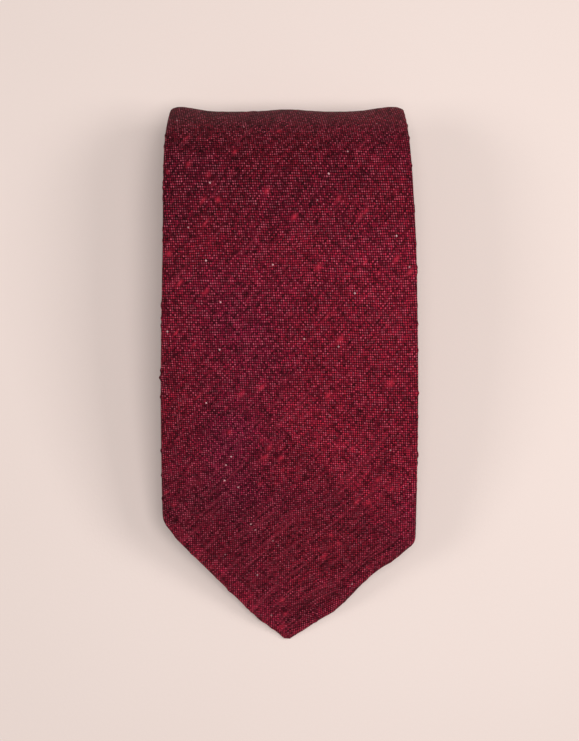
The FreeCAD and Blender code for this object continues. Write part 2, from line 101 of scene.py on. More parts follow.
SEAM_GAP = 0.03                             # from the seam's line to each flap's edge
LIP = 0.26                                  # how far a flap's edge sinks into the seam
LOWEST = 0.02                               # silk that would reach lower is pressed flat on the table
WOOL_HALF = 0.5                             # half of the interlining's thickness


def turn_radius(turn):
    """Radius of the middle layer in a half turn of the roll."""
    return R_OUT - HALF - turn * PITCH / 2


def turn_start(turn):
    """Path length at the start of a half turn of the roll."""
    return FIRST_TURN + sum(math.pi * turn_radius(i) + RUN for i in range(turn))


def turn_at(degrees):
    """Path length at an angle round the roll's outer half turn."""
    return FIRST_TURN + math.radians(degrees) * turn_radius(0)


TOTAL = turn_start(TURNS) - RUN + TAIL_RUN
BLADE_END = turn_start(BLADE_TURNS)         # middle of the blade's seam with the neck piece
NECK_END = turn_start(BLADE_TURNS + NECK_TURNS)
WOOL_JOIN = turn_start(8)                   # where the two interlinings meet


def path_table(step=0.1):
    """(s, y, z, slope) at even steps along the middle layer."""
    legs = [(INCLINE, 0.0), (ARCH * DROOP, -1 / ARCH), (RUN, 0.0)]
    for turn in range(TURNS):
        radius = turn_radius(turn)
        legs.append((math.pi * radius, -1 / radius))
        legs.append((RUN if turn < TURNS - 1 else TAIL_RUN, 0.0))
    ends = np.cumsum([0.0] + [leg[0] for leg in legs])
    slopes = DROOP + np.cumsum([0.0] + [length * bend for length, bend in legs])
    s = np.arange(0.0, ends[-1] + step, step)
    middle = np.interp((s[1:] + s[:-1]) / 2, ends, slopes)
    y = np.concatenate([[0.0], np.cumsum(np.cos(middle)) * step])
    z = np.concatenate([[0.0], np.cumsum(np.sin(middle)) * step])
    y += Y_NEAR - np.interp(ARCH_END, s, y)
    z += TOP - np.interp(ARCH_END, s, z)
    return s, y, z, np.interp(s, ends, slopes)


PATH = path_table()


def smooth(low, high, value):
    """0 below low, 1 above high, and a smooth rise between them."""
    t = np.clip((value - low) / (high - low), 0.0, 1.0)
    return t * t * (3 - 2 * t)


def place(x, s, n):
    """Points (in mm) at x across, path length s and offset n."""
    slope = np.interp(s, PATH[0], PATH[3])
    before = np.minimum(s, 0.0)
    y = np.interp(s, PATH[0], PATH[1]) + before * math.cos(DROOP) - n * np.sin(slope)
    z = np.interp(s, PATH[0], PATH[2]) + before * math.sin(DROOP) + n * np.cos(slope)
    return np.stack(np.broadcast_arrays(x, y, z), axis=-1)


# ------------------------------------------------------------------ how this tie lies
def waves(x, s, seed, sizes, height):
    """A few crossing waves, as a soft unevenness."""
    draw = np.random.default_rng(seed)
    total = np.zeros(np.broadcast(x, s).shape)
    for size in sizes:
        angle, phase = draw.uniform(0, math.pi), draw.uniform(0, 2 * math.pi)
        total += np.sin((x * math.cos(angle) + s * math.sin(angle)) * 2 * math.pi / size + phase)
    return height * total / len(sizes)


def bump(x, s, x0, s0, wide, long, turn=0.0):
    """A round hill of height 1."""
    c, k = math.cos(turn), math.sin(turn)
    a, b = (x - x0) * c + (s - s0) * k, (s - s0) * c - (x - x0) * k
    return np.exp(-(a / wide) ** 2 - (b / long) ** 2)


def far_fold(s):
    """1 at the far side of the roll, beside the hinge that stands clear of the table when unrolled."""
    return np.exp(-((s - turn_at(89)) / 7.5) ** 2)


def on_roll(s):
    """1 where the back lies on the turn below it, which leaves it no room for unevenness."""
    return smooth(ARCH_END - 14, ARCH_END - 4, s)


def sway(x, s):
    """Offset of the whole thickness from the path."""
    free = 1 - smooth(FIRST_TURN + 60, FIRST_TURN + 80, s)
    rise = waves(x, s, 3, (62, 47, 38, 29), 0.34) * smooth(4, 30, s) * free * (1 - 0.9 * on_roll(s))
    ears = 1.7 * (bump(x, 0, -37, 0, 7.5, 1) + bump(x, 0, 36, 0, 8.5, 1))
    ears = ears + 0.8 * bump(x, 0, 0, 0, 8, 1) + 0.9
    rise = rise + ears * far_fold(s)
    curl = -1.9 * bump(x, s, 12, 17, 4.2, 11, -0.8) - 1.2 * bump(x, s, 31, 35, 5, 6, 0.7)
    curl = curl + 0.5 * bump(x, s, 21, 25, 4, 4)
    return rise + curl * smooth(2, 14, s)


def along(x, s):
    """Path length of the cloth at (x, s): the point is pulled a little askew, its right side downwards."""
    askew = np.where(x < 0, 0.118, 0.100) * x * (1 - smooth(48, 125, s))
    left = 2.1 * smooth(-44, -38, x) * (1 - smooth(-12, -2, x))
    right = 3.4 * np.exp(-((x - 16.5) / 6.5) ** 2) + 0.7 * np.exp(-((x - 7) / 4) ** 2)
    right = right - 0.9 * np.exp(-((x - 28) / 4) ** 2) - 1.1 * np.exp(-((x - 44) / 6) ** 2)
    near_edge = np.exp(-np.maximum(s - np.abs(x), 0) / 12) * (1 - smooth(55, 80, s))
    return s - askew - (left + right) * near_edge


def drift(s):
    """Sideways shift of the tie's middle line."""
    return -1.0 * (1 - smooth(0, 50, s)) - 0.85 * smooth(ARCH_END - 10, turn_at(50), s)


def surface(x, s, n):
    """Where the cloth at (x, s) lies, n out of its middle layer."""
    return place(x + drift(s), along(x, s), n + sway(x, s))


def half_width(s):
    """Half of the tie's width at s, away from its points."""
    marks = [50, 100, ARCH_END, FIRST_TURN, turn_start(1), BLADE_END, turn_start(9), NECK_END,
             TOTAL - TAIL_RUN]
    widths = [44.0, 43.3, 42.0, 41.5, 38.4, 25.0, 15.0, 15.0, 16.5]
    return np.interp(s, marks, widths)


def soft_min(a, b, reach):
    """The smaller of a and b, rounded where they cross."""
    h = np.clip(0.5 + 0.5 * (b - a) / reach, 0.0, 1.0)
    return b + (a - b) * h - reach * h * (1 - h)


# ------------------------------------------------------------------ slubs: thick places along the weft
def thread_axes(x, s):
    """Coordinates along and across the weft, which runs at 45 degrees to the tie and steepens up it."""
    lean = s - 0.00061 * s * s
    return (x + s) / math.sqrt(2), (x - lean) / math.sqrt(2)


SLUB_COUNT = 1300
NUB_COUNT = 120
SLUBS = []
for number in range(SLUB_COUNT):
    if number % 3:
        at_p, at_q = rng.uniform(-40, 330), rng.uniform(-260, 80)
    else:
        at_p, at_q = rng.uniform(-30, 75), rng.uniform(-75, 35)
    near_point = 1 - smooth(45, 80, (at_p - at_q) / math.sqrt(2))
    SLUBS.append((at_p, at_q, 2 + rng.gamma(2.0, 1.8 + 3.4 * near_point), rng.uniform(0.20, 0.40),
                  rng.uniform(0.25, 1.0) ** (2.2 - 1.3 * near_point)))

NUBS = []
for _ in range(NUB_COUNT):
    NUBS.append((rng.uniform(-43, 43), rng.uniform(4, 190), rng.uniform(0.5, 1.5), rng.uniform(0.3, 0.75),
                 rng.uniform(0.2, 1.0) ** 1.6))


def nub_field(x, s):
    """Small round lumps where a fibre has caught up in the thread, 0 to 1."""
    p, q = thread_axes(x, s)
    total = np.zeros(p.shape)
    for x0, s0, long, wide, strength in NUBS:
        p0, q0 = thread_axes(x0, s0)
        near = (np.abs(p - p0) < 3 * long) & (np.abs(q - q0) < 3 * wide)
        if near.any():
            total[near] += strength * np.exp(-((p[near] - p0) / long) ** 2 - ((q[near] - q0) / wide) ** 2)
    return np.minimum(total, 1.0)


def slub_field(x, s):
    """Strength of the slubs at (x, s), about 0 to 1."""
    p, q = thread_axes(x, s)
    total = np.zeros(p.shape)
    for p0, q0, length, wide, strength in SLUBS:
        near = np.abs(q - q0) < 3 * wide
        near &= np.abs(p - p0) < length
        if not near.any():
            continue
        a, b = (p[near] - p0) / length, (q[near] - q0) / wide
        total[near] += strength * (1 - a * a) ** 2 * np.exp(-b * b)
    return np.minimum(total, 1.3)


def tint_and_painted_light(x, s):
    """Where the shot silk turns redder (above 0) or bluer (below 0), and how much lighter or darker it is
    drawn: painted light and shade on the hem's rim, beside the seam's window, on the crease near the tip,
    across the lower point and towards the fold at the top, and a little lighter to the right.
    """
    red = (0.6 * bump(x, s, 22, 78, 20, 22) + 0.6 * bump(x, s, 4, 40, 14, 8)
           + 0.5 * bump(x, s, 30, 120, 16, 30) - 0.7 * bump(x, s, -20, 75, 12, 34)
           - 0.5 * bump(x, s, 6, 62, 16, 9) - 0.4 * bump(x, s, -14, 130, 14, 20))
    # painted light and shade: lighter beside the right leg of the seam's window, darker just inside the
    # window's edge
    window = (np.abs(x - SEAM_X) + s - APEX) / math.sqrt(2)
    light = 0.22 * smooth(-1.2, 1.2, window) * (1 - smooth(4, 26, window)) * (x > SEAM_X) * (s < APEX + 12)
    light = light - 0.12 * smooth(-9, 0, window) * (1 - smooth(-1, 1, window))
    # painted highlight on the hem's raised rim, stronger on the left, and a painted shadow line along its
    # inner edge
    hem = (HEM + np.abs(x) - s) / math.sqrt(2)
    light = light + (0.30 * (x < 0) + 0.10) * smooth(-0.6, 0.8, hem) * (1 - smooth(52, 60, s)) * (s < 60)
    light = light - 0.30 * np.exp(-((hem + 0.4) / 0.7) ** 2) * (1 - smooth(52, 60, s))
    # painted shade on the crease near the tip, and a little lighter towards the right
    light = light - 0.40 * bump(x, s, 9, 15, 3.0, 10, -0.8) + 0.003 * x
    # painted shade across the lower part of the point
    light = light - 0.13 * smooth(26, 34, s) * (1 - smooth(58, 70, s))
    # painted shade towards the fold at the top of the roll
    light = light - 0.34 * smooth(ARCH_END - 16, FIRST_TURN + 4, s)
    return np.clip(red, -1, 1), light


# ------------------------------------------------------------------ meshes
def add_field(data, name, values):
    """A named value for each point of a mesh."""
    field = data.attributes.new(name, "FLOAT", "POINT")
    field.data.foreach_set("value", np.asarray(values, dtype=np.float32).ravel())


def make_mesh(name, points, faces, uv=None, fields=None, material=None, smooth_shading=True):
    """An object from points in mm. uv holds each point's (x, s) in mm, and fields its named values."""
    data = bpy.data.meshes.new(name)
    data.from_pydata((np.asarray(points) / 1000).tolist(), [], np.asarray(faces).tolist())
    if uv is not None:
        layer = data.uv_layers.new(name="cloth")
        corner = np.empty(len(data.loops), dtype=np.int32)
        data.loops.foreach_get("vertex_index", corner)
        layer.data.foreach_set("uv", (np.asarray(uv)[corner] / 1000).astype(np.float32).ravel())
    for label, values in (fields or {}).items():
        add_field(data, label, values)
    if smooth_shading:
        data.polygons.foreach_set("use_smooth", [True] * len(data.polygons))
    data.update()
    made = bpy.data.objects.new(name, data)
    bpy.context.scene.collection.objects.link(made)
    if material is not None:
        data.materials.append(material)
    return made


def grid_faces(rows, columns, closed=False):
    """Quads of a grid of points, row by row."""
    i = np.arange(rows - 1)[:, None] * columns
    j = np.arange(columns if closed else columns - 1)[None, :]
    k = (j + 1) % columns
    return np.stack([i + j, i + k, i + columns + k, i + columns + j], axis=-1).reshape(-1, 4)


def near_edges(count, inner_fine=True):
    """Values from 0 (a folded edge) to 1, close together at the edge and, if asked, at the far end."""
    fine = [0.0, 0.0012, 0.0045, 0.009, 0.0145, 0.0215, 0.031]
    rest = np.linspace(0.045, 0.985, count)
    tail = [0.992, 0.997] if inner_fine else []
    return np.concatenate([fine, rest, tail, [1.0]])


def rounded(distance):
    """Half thickness of the folded tie at that distance from its edge."""
    d = np.clip(distance / HALF, 0.0, 1.0)
    return HALF * np.sqrt(np.maximum(1 - (1 - d) ** 2, 0.0))


def edge_noise(s, side):
    """Small nubs along a long edge, outwards."""
    draw = np.random.default_rng(31 + side)
    total = np.zeros(np.shape(s))
    for _ in range(46):
        s0, wide, tall = draw.uniform(0, 250), draw.uniform(0.35, 0.9), draw.uniform(0.08, 0.45) ** 1.3
        total += tall * np.exp(-((s - s0) / wide) ** 2)
    return total


class Outline:
    """Half width and edge distance of one end of the tie, with s measured from its tip."""

    def __init__(self, square, width, corner=2.4, spread=1.0):
        self.square, self.width, self.corner, self.spread = square, width, corner, spread

    def half(self, s):
        s = np.asarray(s, dtype=float)
        tip = BLUNT * (1 - np.exp(-(s + 0.02) / 0.25))
        return soft_min(s * self.spread + tip, self.width(s), self.corner)

    def distance(self, x, s):
        """Distance inwards from the folded edge."""
        slant = (s * self.spread + BLUNT - np.abs(x)) / math.sqrt(2)
        return np.maximum(np.minimum(soft_min(slant, self.width(s) - np.abs(x), 1.0), s), 0.0)


def silk_rows(outline, window, rows, seam_x):
    """x, s, offset and cloth coordinates of folded silk, row by row, from flap edge to flap edge.

    window is (low, apex, side) of the open square behind a point, or None where the flaps meet."""
    across = near_edges(92, inner_fine=False)
    front_u = np.concatenate([across - 1, (1 - across[:-1])[::-1]])
    flap_v = near_edges(40)
    s = rows[:, None]
    half = outline.half(s)
    columns = []
    for side in (-1, 1):
        if window:
            low, apex, reach = window
            climb = np.clip(s / outline.square, 0, 1)
            fall = np.clip((s - outline.square) / (apex - outline.square), 0, 1)
            top_x = side * seam_x
            below = s < outline.square
            inner_x = np.where(below, climb * reach, reach + fall * (top_x + SEAM_GAP - reach))
            inner_s = np.where(below, low + climb * reach, low + reach + fall * (apex - low - reach))
            inner_s = np.where(s > apex, s, inner_s)
        else:
            inner_x, inner_s = np.full_like(s, side * seam_x + SEAM_GAP), s
        x = half + (inner_x - half) * flap_v
        at = s + (inner_s - s) * flap_v
        thick = rounded(outline.distance(x, at))
        lip = smooth(0.985, 1.0, flap_v) * LIP
        columns.append((side * x, at, -thick + lip, side * (2 * half - x), at, np.zeros_like(x)))
    left = [part[:, ::-1] for part in columns[0]]
    x = half * front_u
    front = (x, s + 0 * x, rounded(outline.distance(x, s + 0 * x)), x, s + 0 * x, np.ones_like(x))
    right = columns[1]
    return [np.concatenate([a, b[:, 1:], c[:, 1:]], axis=1) for a, b, c in zip(left, front, right)]


def seam_relief(x, s):
    """How the folded edges on the back show through on the front."""
    above = (np.abs(x - SEAM_X * smooth(50, 88, s)) + s - APEX) / math.sqrt(2)
    below = (HEM + np.abs(x) - s) / math.sqrt(2)
    step = smooth(-1.6, 1.6, np.maximum(above, below))
    ridge = np.exp(-((x - SEAM_X) / 1.7) ** 2) * smooth(APEX - 4, APEX + 3, s)
    return 0.38 * step + 0.34 * ridge * (1 - smooth(FIRST_TURN - 10, FIRST_TURN + 8, s))


def silk(name, outline, window, rows, seam_x, to_s, material, shear=None, relief=True):
    """A length of folded silk. to_s turns this end's s into the whole tie's."""
    x, s, n, u, v, is_front = silk_rows(outline, window, rows, seam_x)
    if shear is not None:
        s = s + shear(s) * x
        v = v + shear(v) * x
    whole = to_s(s)
    shape = x.shape
    if relief:
        side = np.sign(x)
        nubs = np.where(x > 0, edge_noise(s, 1), edge_noise(s, 0)) * (np.abs(x) > outline.half(s) - 0.8)
        slub, nub = slub_field(u, to_s(v)), nub_field(u, to_s(v)) * is_front
        lift = 0.24 * slub + 0.45 * nub + 0.045 * waves(u, v, 11, (3.1, 4.3, 5.9), 1.0)
        outwards = np.where(is_front > 0, 1, on_roll(whole) - 1)
        n = n + outwards * lift * smooth(0, 0.8, outline.distance(x, s))
        n = n + is_front * seam_relief(x, s) * smooth(0.2, 2.5, outline.distance(x, s))
        x = x + side * nubs
        points = surface(x, whole, n)
    else:
        slub, nub = np.zeros(shape), np.zeros(shape)
        points = place(x + drift(whole), whole, n)
    points[..., 2] = np.maximum(points[..., 2], LOWEST)
    faces = grid_faces(*shape)
    if to_s(1.0) < to_s(0.0):
        faces = faces[:, ::-1]
    uv = np.stack([u, to_s(v)], axis=-1).reshape(-1, 2)
    # the second value is painted light and shade, kept in the light field for the material
    red, light = tint_and_painted_light(x, whole)
    fields = {"slub": slub, "nub": nub, "red": red * (is_front > 0), "light": light * (is_front > 0)}
    return make_mesh(name, points.reshape(-1, 3), faces, uv, fields, material)


def band(name, rows, half, low, high, to_point, material, columns=26):
    """A closed flat band between two offsets, such as the interlining."""
    u = np.concatenate([np.linspace(-1, 1, columns), np.linspace(1, -1, columns)])
    s = rows[:, None]
    x = half(s) * u
    n = np.where(np.arange(2 * columns) < columns, high, low) + 0 * x
    points = to_point(x, s + 0 * x, n)
    uv = np.stack([x, s + 0 * x], axis=-1).reshape(-1, 2)
    ring = 2 * columns
    faces = grid_faces(len(rows), ring, closed=True)
    made = make_mesh(name, points.reshape(-1, 3), faces, uv, None, material)
    close_ends(made, len(rows), ring)
    width = 2 * float(np.max(half(rows)))
    area = float(np.trapz(2 * half(rows), rows))
    return made


def close_ends(piece, rings, count):
    """Closes a piece made of rings of count points with a face on its first and its last ring."""
    work = bmesh.new()
    work.from_mesh(piece.data)
    work.verts.ensure_lookup_table()
    last = (rings - 1) * count
    for order in (range(count - 1, -1, -1), range(last, last + count)):
        face = work.faces.new([work.verts[i] for i in order])
        face.smooth = True
    work.normal_update()
    work.to_mesh(piece.data)
    work.free()


def tube(line, radius, sides=6):
    """Points and faces of a round thread along a line of points in mm."""
    line = np.asarray(line, dtype=float)
    ahead = np.gradient(line, axis=0)
    ahead /= np.linalg.norm(ahead, axis=1)[:, None]
    guide = np.array([0.31, 0.27, 0.91])
    side = np.cross(ahead, guide)
    side /= np.linalg.norm(side, axis=1)[:, None]
    other = np.cross(ahead, side)
    angle = np.linspace(0, 2 * math.pi, sides, endpoint=False)[None, :, None]
    taper = np.ones(len(line))
    taper[[0, -1]] = 0.35
    ring = side[:, None] * np.cos(angle) + other[:, None] * np.sin(angle)
    points = line[:, None] + ring * (radius * taper)[:, None, None]
    return points.reshape(-1, 3), grid_faces(len(line), sides, closed=True)


def threads(name, lines, radius, material):
    """Many short threads as one piece."""
    points, faces, count = [], [], 0
    for line in lines:
        p, f = tube(line, radius)
        points.append(p)
        faces.append(f + count)
        count += len(p)
    return make_mesh(name, np.concatenate(points), np.concatenate(faces), None, None, material)


def stitch(x0, s0, x1, s1, n, rise, to_point, steps=7):
    """A short stitch over the cloth, sunk at both ends."""
    t = np.linspace(0, 1, steps)
    sunk = 0.25 * (2 * t - 1) ** 4
    return to_point(x0 + (x1 - x0) * t, s0 + (s1 - s0) * t, n - rise * np.sin(math.pi * t) + sunk)


# ------------------------------------------------------------------ materials
class Graph:
    """Short names for making a node material."""

    def __init__(self, name):
        self.material = bpy.data.materials.new(name)
        self.material.use_nodes = True
        self.tree = self.material.node_tree
        self.shader = self.tree.nodes["Principled BSDF"]

    def add(self, kind, **inputs):
        made = self.tree.nodes.new(kind)
        for key, value in inputs.items():
            self.set(made.inputs[key], value)
        return made

    def set(self, socket, value):
        if isinstance(value, bpy.types.NodeSocket):
            self.tree.links.new(value, socket)
        else:
            socket.default_value = value

    def math(self, operation, a, b=0.0):
        made = self.tree.nodes.new("ShaderNodeMath")
        made.operation = operation
        for socket, value in zip(made.inputs, (a, b)):
            self.set(socket, value)
        return made.outputs[0]

    def split(self, vector):
        made = self.add("ShaderNodeSeparateXYZ", Vector=vector)
        return made.outputs[0], made.outputs[1]

    def join(self, a, b, c=0.0):
        return self.add("ShaderNodeCombineXYZ", X=a, Y=b, Z=c).outputs[0]

    def noise(self, vector, scale, detail=2.0, rough=0.5):
        made = self.add("ShaderNodeTexNoise", Vector=vector, Scale=scale, Detail=detail, Roughness=rough)
        return made.outputs["Fac"]

    def white(self, vector):
        made = self.tree.nodes.new("ShaderNodeTexWhiteNoise")
        made.noise_dimensions = "2D"
        self.set(made.inputs["Vector"], vector)
        return made.outputs["Value"]

    def mix(self, share, a, b, blend="MIX"):
        made = self.tree.nodes.new("ShaderNodeMix")
        made.data_type = "RGBA"
        made.blend_type = blend
        made.clamp_factor = True
        for key, value in (("Factor", share), ("A", a), ("B", b)):
            socket = [i for i in made.inputs if i.name == key and i.enabled][0]
            self.set(socket, value)
        return [o for o in made.outputs if o.enabled][0]

    def ramp(self, value, low, high, to_low=0.0, to_high=1.0):
        made = self.add("ShaderNodeMapRange", Value=value)
        made.inputs["From Min"].default_value = low
        made.inputs["From Max"].default_value = high
        made.inputs["To Min"].default_value = to_low
        made.inputs["To Max"].default_value = to_high
        return made.outputs[0]

    def bump(self, height, distance):
        return self.add("ShaderNodeBump", Height=height, Distance=distance, Strength=1.0).outputs[0]


def srgb(r, g, b):
    """Linear colour of 0 to 255 screen values."""
    def one(value):
        value /= 255
        return value / 12.92 if value <= 0.04045 else ((value + 0.055) / 1.055) ** 2.4
    return (one(r), one(g), one(b), 1.0)


SILK_PITCH = 0.000525                       # from thread to thread, in metres
TIPPING_PITCH = 0.00021


def woven(name, pitch, colours, slubby, rough, sheen, contrast=1.0):
    """Plain weave on the bias, drawn in the cloth's own coordinates: uneven threads with painted glints
    where they cross and painted shade between them, slubs along the weft with streaks of painted shade
    beside them, shot colour that turns from red to purple, and the painted light and shade of the mesh's
    light field."""
    weft, warp, painted_shade, painted_glint, purple, slub_colour = colours
    g = Graph(name)
    uv = g.add("ShaderNodeUVMap")
    uv.uv_map = "cloth"
    cloth = uv.outputs[0]
    x, s = g.split(cloth)
    root = 1 / math.sqrt(2)
    lean = g.math("MULTIPLY", g.math("MULTIPLY", s, s), -0.61)
    wander = g.math("MULTIPLY", g.math("SUBTRACT", g.noise(cloth, 55.0, 2.0), 0.5), 0.0016)
    p = g.math("MULTIPLY", g.math("ADD", x, s), root)
    q = g.math("MULTIPLY", g.math("SUBTRACT", x, g.math("ADD", s, lean)), root)
    q = g.math("ADD", q, wander)
    p_thread, q_thread = g.math("DIVIDE", p, pitch), g.math("DIVIDE", q, pitch)
    p_wave = g.math("SINE", g.math("MULTIPLY", p_thread, math.pi))
    q_wave = g.math("SINE", g.math("MULTIPLY", q_thread, math.pi))
    over = g.math("MULTIPLY", p_wave, q_wave)
    crown = g.math("ABSOLUTE", over)
    p_index, q_index = g.math("FLOOR", p_thread), g.math("FLOOR", q_thread)
    cell = g.white(g.join(p_index, q_index))
    other_cell = g.white(g.join(g.math("ADD", p_index, 0.37), q_index))

    def attribute(label):
        made = g.add("ShaderNodeAttribute")
        made.attribute_name = label
        return made.outputs["Fac"]

    def spread(a, per_a, b, per_b, layer=0.0):
        """A place in a noise that is stretched along the threads."""
        return g.join(g.math("MULTIPLY", a, per_a), g.math("MULTIPLY", b, per_b), layer)

    weft_tone = g.noise(spread(q_index, 7.31, p, 160.0), 1.0, 2.0)
    warp_tone = g.noise(spread(p_index, 5.17, q, 120.0, 3.0), 1.0, 2.0)
    long_streak = g.noise(spread(p, 60.0, q, 1000.0), 1.0, 3.0, 0.6)
    dash = g.noise(spread(p, 330.0, q, 980.0, 5.0), 1.0, 1.0, 0.5)
    crowd = g.noise(cloth, 90.0, 2.0)
    dash = g.math("MULTIPLY", g.ramp(dash, 0.60, 0.74), g.ramp(crowd, 0.42, 0.60))
    streak = g.math("MULTIPLY", g.ramp(long_streak, 0.60, 0.78), g.ramp(crowd, 0.35, 0.55))
    slub = g.math("MAXIMUM", attribute("slub"), g.math("MULTIPLY", dash, slubby))
    slub = g.math("MINIMUM", g.math("ADD", slub, g.math("MULTIPLY", streak, 0.6 * slubby)), 1.0)

    red = attribute("red")
    patchy = g.math("SUBTRACT", g.noise(cloth, 26.0, 3.0, 0.6), 0.5)
    red = g.math("ADD", red, g.math("MULTIPLY", patchy, 2.2))
    high = g.mix(g.ramp(red, 0.15, -1.0, 0.0, 0.7), weft, purple)
    on_top = g.ramp(over, -0.22, 0.22)
    base = g.mix(on_top, warp, high)
    tone = g.math("ADD", g.math("MULTIPLY", weft_tone, 0.9), g.math("MULTIPLY", warp_tone, 0.7))
    bright = g.ramp(tone, 0.50, 1.10, 1 - 0.68 * contrast, 1 + 0.68 * contrast)
    bright = g.math("MULTIPLY", bright, g.ramp(cell, 0.0, 1.0, 1 - 0.72 * contrast, 1 + 0.72 * contrast))
    # painted light and shade: the mesh's light field brightens or darkens the colour
    bright = g.math("MULTIPLY", bright, g.math("ADD", attribute("light"), 1.0))
    base = g.mix(1.0, base, g.join(bright, bright, bright), "MULTIPLY")
    # painted shade between the threads, where their crowns fall away
    base = g.mix(g.ramp(crown, 0.0, 0.35, 0.55 * contrast, 0.0), base, painted_shade)
    # painted highlights: glints put into the colour on the weft's crowns where threads cross, on some cells
    # only
    crossing = g.math("MULTIPLY", on_top, g.ramp(crown, 0.1, 0.6))
    painted_sparkle = g.math("MULTIPLY", g.ramp(other_cell, 0.45, 1.0), crossing)
    painted_sparkle = g.math("MULTIPLY", painted_sparkle, g.ramp(tone, 0.6, 1.0, 0.25, 1.0))
    base = g.mix(g.math("MULTIPLY", painted_sparkle, 0.74 * contrast), base, painted_glint)
    base = g.mix(g.math("MULTIPLY", slub, 0.34), base, slub_colour)
    # painted shade: dark streaks along the weft beside the slubs, stronger near the point
    beside = g.noise(spread(p, 150.0, q, 900.0, 9.0), 1.0, 2.0, 0.6)
    near_point = g.ramp(s, 0.045, 0.085, 1.0, 0.45)
    beside = g.math("MULTIPLY", g.ramp(beside, 0.50, 0.68, 0.0, 0.45 * slubby), near_point)
    base = g.mix(beside, base, painted_shade)
    nub_colour = tuple(min(1.0, part * 2.6) for part in weft[:3]) + (1.0,)
    base = g.mix(g.math("MULTIPLY", attribute("nub"), 0.6), base, nub_colour)
    fleck = g.math("MULTIPLY", g.ramp(other_cell, 0.9993, 0.9998), 0.75 * contrast)
    base = g.mix(fleck, base, srgb(226, 180, 184))
    g.set(g.shader.inputs["Base Color"], base)

    weave = g.math("MULTIPLY", crown, 0.10 * pitch / SILK_PITCH)
    height = g.math("ADD", weave, g.math("MULTIPLY", slub, 0.20))
    height = g.math("ADD", height, g.math("MULTIPLY", g.math("MULTIPLY", cell, crown), 0.08 * contrast))
    g.set(g.shader.inputs["Normal"], g.bump(height, 0.001))
    g.shader.inputs["Roughness"].default_value = rough
    g.shader.inputs["Specular IOR Level"].default_value = 0.07
    g.shader.inputs["Sheen Weight"].default_value = sheen
    g.shader.inputs["Sheen Roughness"].default_value = 0.4
    g.shader.inputs["Sheen Tint"].default_value = (0.75, 0.20, 0.28, 1.0)
    return g.material


def plain_fibre(name, colour, other, scale, rough, sheen, depth, stretch=(1.0, 1.0, 1.0)):
    """Felt, ribbon or thread: fine fibres in the object's own coordinates."""
    g = Graph(name)
    where = g.add("ShaderNodeTexCoord").outputs["Object"]
    spread = g.add("ShaderNodeMapping", Vector=where)
    spread.inputs["Scale"].default_value = stretch
    fibre = g.noise(spread.outputs[0], scale, 4.0, 0.65)
    cloud = g.noise(where, scale / 9, 2.0)
    base = g.mix(g.ramp(fibre, 0.3, 0.7), colour, other)
    base = g.mix(g.math("MULTIPLY", cloud, 0.3), base, colour)
    g.set(g.shader.inputs["Base Color"], base)
    g.set(g.shader.inputs["Normal"], g.bump(fibre, depth))
    g.shader.inputs["Roughness"].default_value = rough
    g.shader.inputs["Sheen Weight"].default_value = sheen
    return g.material


# colours in order: weft, warp, painted shade between threads, painted glint, purple, slub
SILK = woven("shantung_silk", SILK_PITCH,
             (srgb(142, 29, 46), srgb(66, 3, 26), srgb(36, 0, 8), srgb(226, 112, 134), srgb(120, 29, 62),
              srgb(168, 52, 74)),
             slubby=0.9, rough=0.65, sheen=0.03)
LINING = woven("tipping_silk", TIPPING_PITCH,
               (srgb(96, 22, 34), srgb(80, 18, 32), srgb(50, 8, 16), srgb(150, 70, 80), srgb(76, 20, 40),
               srgb(110, 30, 44)),
               slubby=0.1, rough=0.42, sheen=0.15, contrast=0.4)
WOOL = plain_fibre("interlining_wool", srgb(214, 205, 186), srgb(190, 180, 160), 900.0, 0.95, 0.4, 0.0001)
THREAD = plain_fibre("silk_thread", srgb(122, 32, 44), srgb(90, 22, 32), 2600.0, 0.5, 0.3, 0.00004)
RIBS = (9, 1, 1)                            # the ribbons' ribs run along them
RIBBON = plain_fibre("label_ribbon", srgb(74, 14, 26), srgb(48, 8, 16), 1400.0, 0.55, 0.0, 0.00003, RIBS)
CARE = plain_fibre("care_ribbon", srgb(226, 222, 212), srgb(206, 200, 190), 900.0, 0.45, 0.1, 0.00002, RIBS)

# ------------------------------------------------------------------ the cloth, length by length
BLADE_SPREAD = 0.935                        # the point is a little sharper than a right angle
BLADE = Outline(SQUARE / BLADE_SPREAD, half_width, 3.0, BLADE_SPREAD)
WINDOW = (HEM, APEX, (APEX - HEM) / 2)
STEP = 0.45


def rows_between(low, high, step):
    """Even path lengths from low to high, about step apart."""
    return np.linspace(low, high, max(2, int(round((high - low) / step)) + 1))


def same(s):
    """The blade's s is the whole tie's."""
    return s


def path_point(s):
    """The middle line at s, in metres."""
    return (place(0.0, s, 0.0) / 1000).tolist()


LIFT = [INCLINE + ARCH * math.radians(7.5), INCLINE + ARCH * math.radians(22.5)]
CUTS = [0.0, (LIFT[0] + LIFT[1]) / 2, ARCH_END + 8, turn_at(60), turn_at(120), turn_at(180)]
JOINTS = [
    ("point", "blade_point", "blade_middle", LIFT[0] - 7, LIFT[0] + 7),
    ("middle", "blade_middle", "crest", LIFT[1] - 6.5, LIFT[1] + 6.5),
    ("crest", "crest", "upper_turn", turn_at(4), turn_at(56)),
    ("upper_turn", "upper_turn", "lower_turn", turn_at(64), turn_at(116)),
    ("lower_turn", "lower_turn", "roll", turn_at(124), turn_at(176)),
]
TIP_ROWS = np.array([0.0, 0.04, 0.15, 0.32, 0.55, 0.8])


def across_joint(piece, index):
    """Bakes a piece's place into its mesh. The two path points of joint index are worked out but not used.
    """
    _, first, second, low, high = JOINTS[index]
    path_point(low)
    path_point(high)
    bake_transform(piece)


def blade_wool_half(s):
    """Half width of the interlining in the draped blade."""
    return np.maximum(BLADE.half(s) - 2.0, 0.2)


